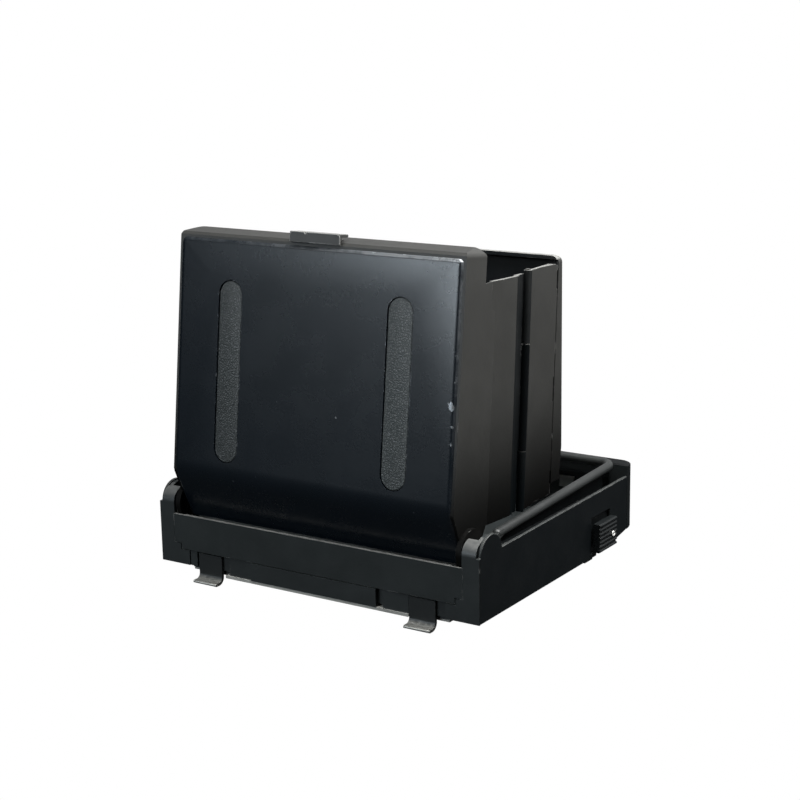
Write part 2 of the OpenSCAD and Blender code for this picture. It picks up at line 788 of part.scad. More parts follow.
// flange along each side, up to the rear hinge line
module back_flange_outline() {
  s0 = 2 * hinge_s - 0.5;
  polygon([
    [back_y, back_top - 0.6], [back_y - 0.6, back_top], [ys(s0, back_top), back_top],
    [ys(s0, 24), 24], [back_y - 1.6, 24], [back_y, 33]]);
}
module back_panel() {
  corner = 2;
  tab_x = lid_x - hinge_x;
  color(satin) difference() {
    union() {
      intersection() {
        union() {
          yz(-lid_x, lid_x) back_plate_outline();
          both() yz(lid_x - 0.6, lid_x) back_flange_outline();
        }
        // rounded top corners
        union() {
          box([-50, 0, 0], [50, 100, back_top - corner]);
          box([-lid_x + corner, 0, 0], [lid_x - corner, 100, back_top + 1]);
          for (m = [-1, 1]) ycyl(0, 100, m * (lid_x - corner), back_top - corner, corner, 40);
        }
      }
      both() link3() for (z = back_lugs) translate([0, 0, hb(z[0])])
        linear_extrude(hb(z[1]) - hb(z[0])) union() {
          circle(r = knuckle_r, $fn = 32);
          square([tab_x - 0.4, 0.9]);
          translate([0.6, -0.9]) square([tab_x - 1.0, 1.6]);
        }
    }
    both() link3() zcyl(-60, 6, wire_r, 24);
  }
}
module hinge_wire_b() {
  link3() zcyl(hb(24.3), hb(82), wire_r, 24);
}
module hinge_wire_br() {
  color(steel) hinge_wire_b();
}
module hinge_wire_bl() {
  color(steel) left() hinge_wire_b();
}

base_frame();
side_plate_r();
side_plate_l();
front_plate();
mount_plate();
hook_r();
hook_l();
plate_screws();
rear_bracket();
lid_pin_r();
lid_pin_l();
lid_spring_r();
lid_spring_l();
bail();
release_knob();
body_latch();
latch_spring();
lid_tray();
lid_cover();
grip_strip_r();
grip_strip_l();
lid_tab();
tab_spring();
hinge_wire_fr();
hinge_wire_fl();
magnifier_frame();
magnifier_lens();
magnifier_pin();
magnifier_spring();
magnifier_catch();
front_panel_r();
front_panel_l();
mid_wire_r();
mid_wire_l();
rear_panel_r();
rear_panel_l();
back_panel();
hinge_wire_br();
hinge_wire_bl();
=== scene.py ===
"""Folding focusing hood: the looks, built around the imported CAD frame."""
import json
import math

import bmesh
import bpy
from mathutils import Matrix, Vector


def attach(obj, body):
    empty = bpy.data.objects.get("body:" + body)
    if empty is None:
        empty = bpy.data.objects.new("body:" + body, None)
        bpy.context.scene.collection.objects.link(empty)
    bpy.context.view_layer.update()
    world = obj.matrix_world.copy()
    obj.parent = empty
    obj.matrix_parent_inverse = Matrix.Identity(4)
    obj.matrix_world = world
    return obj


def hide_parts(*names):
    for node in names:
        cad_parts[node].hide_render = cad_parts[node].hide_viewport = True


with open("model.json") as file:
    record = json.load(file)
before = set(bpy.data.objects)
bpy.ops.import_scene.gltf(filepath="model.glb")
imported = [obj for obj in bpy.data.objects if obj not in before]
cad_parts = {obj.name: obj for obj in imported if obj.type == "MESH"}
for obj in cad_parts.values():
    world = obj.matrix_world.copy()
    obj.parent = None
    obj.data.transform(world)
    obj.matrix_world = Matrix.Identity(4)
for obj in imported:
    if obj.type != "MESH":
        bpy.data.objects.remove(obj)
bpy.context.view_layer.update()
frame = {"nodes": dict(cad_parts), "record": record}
NODES = frame["nodes"]
RECORD = frame["record"]
BODY_OF = {n: b for b, members in RECORD["behaviour"]["bodies"].items() for n in members}
SLOT_OF = {s["node"]: s["material_slot"] for s in RECORD["subparts"]}
MM = 0.001

# ---------------------------------------------------------------- places, in millimetres
# the lid: its pivot, how far it leans back, its face in front of the pivot, its crease, half width and top
PIVOT = Vector((0.0, 6.2, 17.0))
LID_LEAN = math.radians(6.8)
LID_FACE = 9.2
CREASE_U = 9.7
COVER_X = 44.9
LID_TOP = 74.5
# the grip strips in the cover: middle line, lower and upper end, half width, gap round them
STRIP_X, STRIP_LO, STRIP_HI, STRIP_HALF, STRIP_GAP = 27.1, 14.1, 63.4, 3.75, 0.18
# the upright hinges: lean, the front one's place at height HINGE_Z, and the middle one's place behind it
HINGE_LEAN = math.radians(4.04)
HINGE_Y, HINGE_Z = 19.4, 80.0
HINGE_STEP, HINGE_MID_X = 17.36, 45.3
# the middle of the hood, which its inner faces look towards
HOOD_MIDDLE = 40.0


def lid_point(x, n, u):
    """World point, in millimetres, of depth n behind the lid pivot and height u along the lid."""
    c, s = math.cos(LID_LEAN), math.sin(LID_LEAN)
    return Vector((x, PIVOT.y + n * c + u * s, PIVOT.z - n * s + u * c))


# ---------------------------------------------------------------- materials
def new_material(name):
    mat = bpy.data.materials.new(name)
    mat.use_nodes = True
    tree = mat.node_tree
    tree.nodes.clear()
    out = tree.nodes.new("ShaderNodeOutputMaterial")
    shader = tree.nodes.new("ShaderNodeBsdfPrincipled")
    tree.links.new(shader.outputs["BSDF"], out.inputs["Surface"])
    return mat, tree, shader


def add(tree, kind, **values):
    node = tree.nodes.new(kind)
    for key, value in values.items():
        if key in node.inputs:
            node.inputs[key].default_value = value
        else:
            setattr(node, key, value)
    return node


def coords(tree):
    return add(tree, "ShaderNodeTexCoord").outputs["Object"]


def noise(tree, scale, detail=4.0, rough=0.55, vector=None):
    node = add(tree, "ShaderNodeTexNoise")
    node.inputs["Scale"].default_value = scale
    node.inputs["Detail"].default_value = detail
    node.inputs["Roughness"].default_value = rough
    tree.links.new(vector or coords(tree), node.inputs["Vector"])
    return node.outputs["Fac"]


def ramp(tree, source, low, high, a=0.0, b=1.0):
    node = add(tree, "ShaderNodeMapRange", interpolation_type="SMOOTHSTEP")
    node.inputs["From Min"].default_value = low
    node.inputs["From Max"].default_value = high
    node.inputs["To Min"].default_value = a
    node.inputs["To Max"].default_value = b
    tree.links.new(source, node.inputs["Value"])
    return node.outputs["Result"]


def math_node(tree, operation, a, b):
    node = add(tree, "ShaderNodeMath", operation=operation)
    for socket, value in zip(node.inputs, (a, b)):
        if isinstance(value, (int, float)):
            socket.default_value = value
        else:
            tree.links.new(value, socket)
    return node.outputs["Value"]


def mix_colour(tree, fac, a, b):
    node = add(tree, "ShaderNodeMix", data_type="RGBA")
    for socket, value in ((node.inputs[0], fac), (node.inputs[6], a), (node.inputs[7], b)):
        if isinstance(value, (int, float)):
            socket.default_value = value
        elif isinstance(value, tuple):
            socket.default_value = (*value, 1.0)
        else:
            tree.links.new(value, socket)
    return node.outputs[2]


def edge_mask(tree, radius, low=0.02, high=0.2):
    """1 along convex and concave edges within radius, 0 on flat faces."""
    bevel = add(tree, "ShaderNodeBevel", samples=4)
    bevel.inputs["Radius"].default_value = radius
    geo = add(tree, "ShaderNodeNewGeometry")
    dot = add(tree, "ShaderNodeVectorMath", operation="DOT_PRODUCT")
    tree.links.new(bevel.outputs["Normal"], dot.inputs[0])
    tree.links.new(geo.outputs["Normal"], dot.inputs[1])
    turned = math_node(tree, "SUBTRACT", 1.0, dot.outputs["Value"])
    return ramp(tree, turned, low, high)


def bump(tree, shader, height, strength, distance):
    node = add(tree, "ShaderNodeBump")
    node.inputs["Strength"].default_value = strength
    node.inputs["Distance"].default_value = distance
    tree.links.new(height, node.inputs["Height"])
    tree.links.new(node.outputs["Normal"], shader.inputs["Normal"])


def own_axis(tree, output, axis):
    """One component of the object's own position or surface normal."""
    split = add(tree, "ShaderNodeSeparateXYZ")
    tree.links.new(add(tree, "ShaderNodeTexCoord").outputs[output], split.inputs[0])
    return split.outputs[axis]


def inside_mask(tree):
    """1 on faces that look towards the middle of the hood, 0 on its outside."""
    flat = add(tree, "ShaderNodeVectorMath", operation="SUBTRACT")
    flat.inputs[1].default_value = (0.0, HOOD_MIDDLE * MM, 0.0)
    tree.links.new(coords(tree), flat.inputs[0])
    level = add(tree, "ShaderNodeVectorMath", operation="MULTIPLY")
    level.inputs[1].default_value = (1.0, 1.0, 0.0)
    tree.links.new(flat.outputs[0], level.inputs[0])
    unit = add(tree, "ShaderNodeVectorMath", operation="NORMALIZE")
    tree.links.new(level.outputs[0], unit.inputs[0])
    dot = add(tree, "ShaderNodeVectorMath", operation="DOT_PRODUCT")
    tree.links.new(unit.outputs[0], dot.inputs[0])
    tree.links.new(add(tree, "ShaderNodeTexCoord").outputs["Normal"], dot.inputs[1])
    return ramp(tree, math_node(tree, "MULTIPLY", dot.outputs["Value"], -1.0), 0.1, 0.4)


BARE_METAL = (0.45, 0.45, 0.44)
# rubbed paint with a painted highlight, for upward-facing edges
RIM_WEAR_AND_HIGHLIGHT = (0.30, 0.30, 0.29)
# the band's colour is the black hinge leaf with painted shade of its recess; the line's is rubbed paint
# with a painted highlight
BAND_BLACK_AND_SHADE = (0.0022, 0.0034, 0.0040)
LINE_WEAR_AND_HIGHLIGHT = (0.085, 0.085, 0.080)
# the band of black hinge leaf and painted shade, and the line of rubbed paint and painted highlight behind
# it, from and to, in millimetres behind the front hinge
BAND_FROM, BAND_TO = 12.6, 17.7
LINE_FROM, LINE_TO = 18.15, 18.5


def paint(name, colour, rough, wear=0.5, grain=900.0, grain_depth=0.00003, spread=0.25, edge=0.00035,
          edge_range=(0.02, 0.2), specular=0.5, inside=None, side=None, top=None, low_shade=None,
          rim=0.0, rim_above=0.0, rim_before=None, hinge_band=False):
    """Painted metal: mottled colour and gloss, a fine grain, and paint rubbed thin along the edges. wear is
    how much of the edges is bare, within edge metres of them; edge_range is how sharp an edge has to be.
    spread is how much paler the mottling gets. inside is the colour of faces that look into the hood, side
    that of faces that look left or right, a painted shade. top is (colour, height, depth): upward faces
    above that height and behind that depth get that colour, a painted shade, and less gloss. low_shade is
    (low height, high height, share): a painted shade darkens the colour to that share at its lower end. rim
    is how far upward-facing edges above rim_above, and in front of rim_before if that is given, get rubbed
    paint with a painted highlight. hinge_band paints the strip along the middle hinge black with a painted
    shade, with a line of rubbed paint and painted highlight behind it. Heights and depths are in
    millimetres."""
    mat, tree, shader = new_material(name)
    place = coords(tree)
    blotch = noise(tree, 60.0, 5.0, 0.6, place)
    tint = tuple(c * (1.0 + spread) for c in colour)
    base = mix_colour(tree, ramp(tree, blotch, 0.35, 0.7), colour, tint)
    # painted shade: faces that look left or right get the darker side colour, for the light that falls less
    # on them
    if side:
        sideways = math_node(tree, "ABSOLUTE", own_axis(tree, "Normal", 0), 0.0)
        base = mix_colour(tree, ramp(tree, sideways, 0.6, 0.9), base, side)
    if inside:
        base = mix_colour(tree, inside_mask(tree), base, inside)
    # painted shade: upward faces high and far back in the base get the top colour, and less gloss
    if top:
        flat = ramp(tree, own_axis(tree, "Normal", 2), 0.6, 0.9)
        top_colour, height, depth = top
        above = ramp(tree, own_axis(tree, "Object", 2), (height - 0.3) * MM, height * MM)
        behind = ramp(tree, own_axis(tree, "Object", 1), (depth - 0.3) * MM, depth * MM)
        flat = math_node(tree, "MULTIPLY", flat, math_node(tree, "MULTIPLY", above, behind))
        base = mix_colour(tree, flat, base, top_colour)
        matt = math_node(tree, "SUBTRACT", specular, math_node(tree, "MULTIPLY", flat, specular * 0.8))
        tree.links.new(matt, shader.inputs["Specular IOR Level"])
    # painted shade: the colour darkens towards the lower end, where less light reaches
    if low_shade:
        low, high, share = low_shade
        level = ramp(tree, own_axis(tree, "Object", 2), low * MM, high * MM, share, 1.0)
        dimmed = add(tree, "ShaderNodeVectorMath", operation="SCALE")
        tree.links.new(base, dimmed.inputs[0])
        tree.links.new(level, dimmed.inputs["Scale"])
        base = dimmed.outputs[0]
        tree.links.new(math_node(tree, "MULTIPLY", level, specular), shader.inputs["Specular IOR Level"])
    # hinge_band: painted shade darkens the strip along the middle hinge's recess, and a painted highlight
    # with rubbed paint lightens the rear panel's front edge
    if hinge_band:
        along = add(tree, "ShaderNodeVectorMath", operation="DOT_PRODUCT")
        along.inputs[1].default_value = (0.0, math.cos(HINGE_LEAN), -math.sin(HINGE_LEAN))
        tree.links.new(place, along.inputs[0])
        start = (HINGE_Y * math.cos(HINGE_LEAN) - HINGE_Z * math.sin(HINGE_LEAN)) * MM
        at = along.outputs["Value"]

        def band(a, b, soft):
            return math_node(tree, "MULTIPLY", ramp(tree, at, start + (a - soft) * MM, start + a * MM),
                             ramp(tree, at, start + (b + soft) * MM, start + b * MM))

        base = mix_colour(tree, band(BAND_FROM, BAND_TO, 0.2), base, BAND_BLACK_AND_SHADE)
        base = mix_colour(tree, band(LINE_FROM, LINE_TO, 0.1), base, LINE_WEAR_AND_HIGHLIGHT)
    # rim: rubbed paint together with a painted highlight, where the light from above catches upward-facing
    # edges
    if rim > 0:
        up = ramp(tree, own_axis(tree, "Normal", 2), 0.35, 0.75)
        high = ramp(tree, own_axis(tree, "Object", 2), (rim_above - 0.4) * MM, rim_above * MM)
        broken = ramp(tree, noise(tree, 330.0, 5.0, 0.65, place), 0.30, 0.62, 0.55, 1.0)
        if rim_before:
            front = ramp(tree, own_axis(tree, "Object", 1), (rim_before + 0.3) * MM, rim_before * MM)
            high = math_node(tree, "MULTIPLY", high, front)
        edge_mark = math_node(tree, "MULTIPLY", math_node(tree, "MULTIPLY", up, high),
                           math_node(tree, "MULTIPLY", broken, rim))
        base = mix_colour(tree, edge_mark, base, RIM_WEAR_AND_HIGHLIGHT)
    if wear > 0:
        patches = noise(tree, 260.0, 6.0, 0.65, place)
        long_patches = noise(tree, 45.0, 3.0, 0.5, place)
        near_edge = edge_mask(tree, edge, *edge_range)
        small = ramp(tree, patches, 0.62 - 0.25 * wear, 0.78 - 0.2 * wear)
        large = ramp(tree, long_patches, 0.5 - 0.2 * wear, 0.62 - 0.1 * wear)
        worn = math_node(tree, "MULTIPLY", near_edge, math_node(tree, "MULTIPLY", small, large))
        base = mix_colour(tree, worn, base, BARE_METAL)
        tree.links.new(math_node(tree, "MULTIPLY", worn, 0.85), shader.inputs["Metallic"])
    tree.links.new(base, shader.inputs["Base Color"])
    gloss = noise(tree, 140.0, 4.0, 0.6, place)
    tree.links.new(ramp(tree, gloss, 0.3, 0.75, rough * 0.92, rough * 1.1), shader.inputs["Roughness"])
    shader.inputs["Specular IOR Level"].default_value = specular
    bump(tree, shader, noise(tree, grain, 3.0, 0.6, place), 0.6, grain_depth)
    return mat


def metal(name, colour, rough, brush=None):
    """Bare metal with a drawn or brushed grain."""
    mat, tree, shader = new_material(name)
    place = coords(tree)
    vector = place
    if brush:
        mapping = add(tree, "ShaderNodeMapping")
        mapping.inputs["Scale"].default_value = brush
        tree.links.new(place, mapping.inputs["Vector"])
        vector = mapping.outputs["Vector"]
    streak = noise(tree, 400.0, 5.0, 0.6, vector)
    base = mix_colour(tree, ramp(tree, streak, 0.3, 0.7), tuple(c * 0.8 for c in colour), colour)
    shader.inputs["Metallic"].default_value = 1.0
    tree.links.new(base, shader.inputs["Base Color"])
    tree.links.new(ramp(tree, streak, 0.2, 0.8, rough * 0.8, rough * 1.3), shader.inputs["Roughness"])
    bump(tree, shader, streak, 0.4, 0.00002)
    return mat


def hook_material():
    """Black-painted spring steel, worn bright where the tongue rolls under."""
    mat, tree, shader = new_material("hook_metal")
    place = coords(tree)
    height = math_node(tree, "ADD", own_axis(tree, "Object", 2),
                       math_node(tree, "MULTIPLY", noise(tree, 700.0, 4.0, 0.6, place), 1.6 * MM))
    bright = ramp(tree, height, -1.2 * MM, -2.6 * MM)
    patches = ramp(tree, noise(tree, 420.0, 6.0, 0.7, place), 0.56, 0.68, 0.0, 0.5)
    bright = math_node(tree, "MAXIMUM", bright,
                       math_node(tree, "MULTIPLY", patches, edge_mask(tree, 0.0004)))
    painted, bare = (0.0155, 0.018, 0.0185), (0.34, 0.34, 0.32)
    tree.links.new(mix_colour(tree, bright, painted, bare), shader.inputs["Base Color"])
    tree.links.new(math_node(tree, "MULTIPLY", bright, 0.6), shader.inputs["Metallic"])
    shader.inputs["Roughness"].default_value = 0.42
    bump(tree, shader, noise(tree, 900.0, 4.0, 0.6, place), 0.5, 0.00003)
    return mat


def plastic(name, colour, rough, grain=1500.0, depth=0.00004):
    """An even, finely grained surface, a little paler in patches."""
    mat, tree, shader = new_material(name)
    place = coords(tree)
    tone = noise(tree, 90.0, 4.0, 0.6, place)
    paler = tuple(c * 1.3 for c in colour)
    tree.links.new(mix_colour(tree, ramp(tree, tone, 0.3, 0.7), colour, paler), shader.inputs["Base Color"])
    tree.links.new(ramp(tree, tone, 0.2, 0.8, rough * 0.9, rough * 1.1), shader.inputs["Roughness"])
    bump(tree, shader, noise(tree, grain, 2.0, 0.5, place), 0.5, depth)
    return mat


# chips down the cover's right edge, the largest halfway: across, height along the lid, reach
CHIPS = ((43.4, 37.7, 2.35), (43.9, 43.5, 1.75), (44.0, 32.6, 1.75), (43.9, 28.0, 1.65), (44.1, 50.5, 1.6))
CHIP_RAGGED = 2.8
ENAMEL, ENAMEL_PALER = (0.0040, 0.0070, 0.0105), (0.0052, 0.0086, 0.0130)
# the colour of bare chips, rubbed paint and the painted highlight along the rim
ENAMEL_WEAR_AND_HIGHLIGHT = (0.36, 0.38, 0.4)


def cover_material():
    """Near-black semi-gloss enamel with chips down its right edge, paint rubbed thin along its edges, and
    rubbed paint with a painted highlight along its rolled top edge, brighter towards the right, and down
    its right edge.
    """
    mat, tree, shader = new_material("cover_enamel")
    place = coords(tree)
    base = mix_colour(tree, ramp(tree, noise(tree, 25.0, 4.0, 0.6, place), 0.3, 0.7), ENAMEL, ENAMEL_PALER)
    patches = ramp(tree, noise(tree, 320.0, 6.0, 0.7, place), 0.52, 0.66)
    edge_mark = math_node(tree, "MULTIPLY", edge_mask(tree, 0.0004, 0.03, 0.2), patches)
    shape = noise(tree, 950.0, 5.0, 0.7, place)
    mark = edge_mark
    for x, u, reach in CHIPS:
        near = add(tree, "ShaderNodeVectorMath", operation="DISTANCE")
        near.inputs[1].default_value = lid_point(x, -LID_FACE, u) * MM
        tree.links.new(place, near.inputs[0])
        spread = math_node(tree, "MULTIPLY", shape, CHIP_RAGGED * MM)
        ragged = math_node(tree, "ADD", near.outputs["Value"], spread)
        mark = math_node(tree, "MAXIMUM", mark, ramp(tree, ragged, reach * MM, (reach - 0.25) * MM))
    # rubbed paint with a painted highlight along the rolled top edge, brighter towards the right where the
    # light falls, and down the right edge; up is the height along the leaning lid, and zero that of the
    # pivot
    height = add(tree, "ShaderNodeVectorMath", operation="DOT_PRODUCT")
    height.inputs[1].default_value = (0.0, math.sin(LID_LEAN), math.cos(LID_LEAN))
    tree.links.new(place, height.inputs[0])
    zero = (PIVOT.y * math.sin(LID_LEAN) + PIVOT.z * math.cos(LID_LEAN)) * MM
    up = height.outputs["Value"]
    across = own_axis(tree, "Object", 0)
    line_breakup = ramp(tree, noise(tree, 210.0, 6.0, 0.7, place), 0.38, 0.58, 0.35, 1.0)
    above = ramp(tree, up, zero + (LID_TOP - 1.3) * MM, zero + (LID_TOP - 0.9) * MM)
    below = ramp(tree, up, zero + (LID_TOP - 0.15) * MM, zero + (LID_TOP - 0.4) * MM)
    top_line = math_node(tree, "MULTIPLY", above, below)
    top_line = math_node(tree, "MULTIPLY", top_line, ramp(tree, across, -30 * MM, 44 * MM, 0.10, 0.95))
    side_line = math_node(tree, "MULTIPLY",
                          ramp(tree, across, (COVER_X - 1.1) * MM, (COVER_X - 0.6) * MM),
                          ramp(tree, up, zero + 20 * MM, zero + 70 * MM, 0.03, 0.4))
    lines = math_node(tree, "MULTIPLY", math_node(tree, "MAXIMUM", top_line, side_line), line_breakup)
    mark = math_node(tree, "MAXIMUM", mark, lines)
    specks = ramp(tree, noise(tree, 520.0, 2.0, 0.4, place), 0.80, 0.83)
    mark = math_node(tree, "MAXIMUM", mark, math_node(tree, "MULTIPLY", specks, 0.5))
    base = mix_colour(tree, mark, base, ENAMEL_WEAR_AND_HIGHLIGHT)
    tree.links.new(base, shader.inputs["Base Color"])
    tree.links.new(math_node(tree, "MULTIPLY", mark, 0.7), shader.inputs["Metallic"])
    gloss = noise(tree, 70.0, 5.0, 0.65, place)
    tree.links.new(ramp(tree, gloss, 0.3, 0.75, 0.26, 0.29), shader.inputs["Roughness"])
    worn_down = math_node(tree, "MULTIPLY", mark, 1.5)
    grain = math_node(tree, "SUBTRACT", noise(tree, 1300.0, 2.0, 0.5, place), worn_down)
    bump(tree, shader, grain, 0.35, 0.00003)
    shader.inputs["Specular IOR Level"].default_value = 0.5
    return mat


STRIP_GREY, STRIP_PALE, STRIP_GROOVE = (0.046, 0.053, 0.054), (0.074, 0.082, 0.082), (0.030, 0.034, 0.035)
# painted sheen on the right-hand inlay: how much paler it is made
STRIP_RIGHT_SHEEN = 1.45


def strip_material():
    """Grey inlay with a fine pressed leather grain."""
    mat, tree, shader = new_material("strip_grain")
    place = coords(tree)
    cells = add(tree, "ShaderNodeTexVoronoi", feature="DISTANCE_TO_EDGE")
    cells.inputs["Scale"].default_value = 1500.0
    tree.links.new(place, cells.inputs["Vector"])
    pebble = ramp(tree, cells.outputs["Distance"], 0.0, 0.25)
    tone = noise(tree, 1100.0, 4.0, 0.7, place)
    base = mix_colour(tree, ramp(tree, tone, 0.3, 0.7), STRIP_GREY, STRIP_PALE)
    base = mix_colour(tree, pebble, STRIP_GROOVE, base)
    # painted sheen: the right-hand inlay is made paler, as a painted reflection of the brighter light on
    # the cover's right
    paler = ramp(tree, own_axis(tree, "Object", 0), -10 * MM, 10 * MM, 1.0, STRIP_RIGHT_SHEEN)
    scaled = add(tree, "ShaderNodeVectorMath", operation="SCALE")
    tree.links.new(base, scaled.inputs[0])
    tree.links.new(paler, scaled.inputs["Scale"])
    tree.links.new(scaled.outputs[0], shader.inputs["Base Color"])
    tree.links.new(ramp(tree, tone, 0.2, 0.8, 0.34, 0.44), shader.inputs["Roughness"])
    bump(tree, shader, math_node(tree, "ADD", pebble, math_node(tree, "MULTIPLY", tone, 0.5)), 0.8, 0.00006)
    return mat


def glass_material():
    """Clear glass with a faint blue coating."""
    mat, _, shader = new_material("lens_glass_look")
    shader.inputs["Base Color"].default_value = (0.93, 0.96, 0.97, 1)
    shader.inputs["Transmission Weight"].default_value = 1.0
    shader.inputs["IOR"].default_value = 1.52
    shader.inputs["Roughness"].default_value = 0.01
    shader.inputs["Coat Weight"].default_value = 0.4
    shader.inputs["Coat Tint"].default_value = (0.75, 0.8, 1.0, 1)
    return mat


DARK_INSIDE = (0.0095, 0.0125, 0.0150)
# painted shade for the upward ledges inside the base, which lie in shadow
LEDGE_SHADE = (0.0025, 0.0032, 0.0036)
MATERIALS = {
    # frame: painted shade on its sideways faces and on the upward ledges inside the base, and rubbed paint
    # with a painted highlight on the posts' upward edges
    "frame_black": paint("frame_paint", (0.0200, 0.0238, 0.0246), 0.42, wear=0.3, grain=1400.0,
                         side=(0.0038, 0.0052, 0.0058), top=(LEDGE_SHADE, 9.0, 8.0),
                         rim=0.35, rim_above=17.8, rim_before=4.5),
    # plate: painted shade on its sideways faces, and rubbed paint with a painted highlight along its upward
    # top edges
    "plate_black": paint("plate_paint", (0.0135, 0.0165, 0.0168), 0.46, wear=0.55, grain=1800.0,
                         grain_depth=0.00002, side=(0.0024, 0.0038, 0.0047), rim=0.12, rim_above=10.0,
                         specular=0.32),
    "steel": metal("bare_steel", (0.62, 0.61, 0.58), 0.3, brush=(0.05, 1, 1)),
    "hook_steel": hook_material(),
    "bail_grey": paint("bail_paint", (0.024, 0.026, 0.026), 0.38, wear=0.2, grain=2000.0,
                       grain_depth=0.00001),
    "knob_black": plastic("knob_plastic", (0.0055, 0.0070, 0.0076), 0.38),
    # tray and panels: painted shade darkens their lower ends; the panels also get rubbed paint with a
    # painted highlight along their top edges, and the hinge band
    "tray_satin": paint("tray_paint", (0.0345, 0.0345, 0.0327), 0.5, wear=0.3, grain=1600.0,
                        grain_depth=0.000025, inside=DARK_INSIDE, spread=0.15, low_shade=(20.0, 56.0, 0.12)),
    "cover_gloss": cover_material(),
    "strip_grey": strip_material(),
    "panel_satin": paint("panel_paint", (0.0325, 0.0325, 0.0308), 0.5, wear=0.45, grain=1600.0,
                         grain_depth=0.000025, inside=DARK_INSIDE, spread=0.15, rim=0.75, rim_above=60.0,
                         low_shade=(21.0, 57.0, 0.10), hinge_band=True),
    "magnifier_black": plastic("magnifier_plastic", (0.011, 0.011, 0.012), 0.45),
    "lens_glass": glass_material(),
    "spring_steel": metal("spring_metal", (0.42, 0.41, 0.38), 0.28),
}
BARREL_BLACK = paint("barrel_paint", (0.0016, 0.0024, 0.0028), 0.34, wear=0.1, grain=1500.0,
                     grain_depth=0.00001, specular=0.3)
# tab: rubbed paint with a painted highlight along its upward edges
TAB_PAINT = paint("tab_paint", (0.036, 0.036, 0.0345), 0.45, wear=0.9, grain=1600.0, grain_depth=0.000025,
                  rim=0.7, rim_above=80.0, edge=0.0005, edge_range=(0.004, 0.05))
# apron: rubbed paint with a painted highlight along its top edge
APRON_PAINT = paint("apron_paint", (0.0172, 0.0210, 0.0215), 0.44, wear=0.6, grain=1500.0,
                    grain_depth=0.00004, rim=0.9, rim_above=13.5)
# pale paint for the tab's rim: a painted highlight
TAB_RIM_HIGHLIGHT = paint("tab_rim_highlight", (0.15, 0.15, 0.145), 0.4, wear=0.0, spread=0.6)
STRIP_METAL = plastic("satin_alloy", (0.34, 0.34, 0.32), 0.35, grain=900.0, depth=0.00001)
MARK_WHITE = plastic("mark_white", (0.72, 0.72, 0.70), 0.5)
# nodes whose material isn't that of their slot
OWN_MATERIAL = {"lid_tab": TAB_PAINT, "front_plate": APRON_PAINT, "mount_plate": STRIP_METAL}


# ---------------------------------------------------------------- mesh helpers
def finish_piece(obj, node=None, body=None, slot=None, material=None):
    """Gives a piece its material, that of its slot unless one is given, and its body, and hides the CAD
    node that it stands for, if any.
    """
    slot = slot or SLOT_OF[node]
    obj.data.materials.clear()
    obj.data.materials.append(material or MATERIALS[slot])
    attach(obj, body or BODY_OF[node])
    if node:
        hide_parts(node)
    return obj


def link_object(name, mesh):
    """A new object in the scene that shows the mesh."""
    obj = bpy.data.objects.new(name, mesh)
    bpy.context.scene.collection.objects.link(obj)
    return obj


def soft_normals(mesh, degrees=35.0):
    """Smooth shading, except over edges that turn by more than degrees."""
    mesh.shade_smooth()
    mesh.set_sharp_from_angle(angle=math.radians(degrees))


def apply_modifiers(obj):
    """Bakes an object's modifiers into its mesh."""
    graph = bpy.context.evaluated_depsgraph_get()
    mesh = bpy.data.meshes.new_from_object(obj.evaluated_get(graph))
    obj.modifiers.clear()
    obj.data = mesh
    return obj


def rounded_copy(node, width, wide=None):
    """A copy of a CAD node's own surface with its sharp edges rounded to width millimetres.
    wide is (test, width): edges whose middle passes the test get that width instead."""
    segments, limit = 3, math.radians(28.0)
    mesh = NODES[node].data.copy()
    bm = bmesh.new()
    bm.from_mesh(mesh)
    bmesh.ops.remove_doubles(bm, verts=bm.verts, dist=2e-6)
    bmesh.ops.dissolve_limit(bm, angle_limit=math.radians(0.6), verts=bm.verts, edges=bm.edges)
    bmesh.ops.dissolve_degenerate(bm, edges=bm.edges, dist=2e-6)

    def sharp():
        return [e for e in bm.edges if e.is_manifold and e.calc_face_angle(0.0) > limit]

    if wide:
        test, size = wide
        chosen = [e for e in sharp() if test((e.verts[0].co + e.verts[1].co) / (2 * MM))]
        bmesh.ops.bevel(bm, geom=chosen, offset=size * MM, segments=segments + 2, profile=0.5,
                        affect="EDGES", clamp_overlap=True)
    bmesh.ops.bevel(bm, geom=sharp(), offset=width * MM, segments=segments, profile=0.5,
                    affect="EDGES", clamp_overlap=True)
    bmesh.ops.remove_doubles(bm, verts=bm.verts, dist=1e-6)
    bm.to_mesh(mesh)
    bm.free()
    if "custom_normal" in mesh.attributes:
        mesh.attributes.remove(mesh.attributes["custom_normal"])
    soft_normals(mesh)
    obj = link_object(node + "_finished", mesh)
    # large faces keep their own normal, so that they shade flat up to the rounding
    flat = obj.modifiers.new("flat_faces", "WEIGHTED_NORMAL")
    flat.mode, flat.weight, flat.keep_sharp = "FACE_AREA", 50, True
    return apply_modifiers(obj)


def tube(name, points, radius, sides=16):
    """A round wire along points, given in millimetres, with closed ends."""
    curve = bpy.data.curves.new(name, "CURVE")
    curve.dimensions = "3D"
    spline = curve.splines.new("POLY")
    spline.points.add(len(points) - 1)
    for target, p in zip(spline.points, points):
        target.co = (*(Vector(p) * MM), 1.0)
    curve.bevel_depth = radius * MM
    curve.bevel_resolution = max(1, sides // 4 - 1)
    curve.use_fill_caps = True
    obj = link_object(name, curve)
    graph = bpy.context.evaluated_depsgraph_get()
    mesh = bpy.data.meshes.new_from_object(obj.evaluated_get(graph))
    bpy.data.objects.remove(obj)
    mesh.name = name
    soft_normals(mesh, 50)
    return link_object(name, mesh)


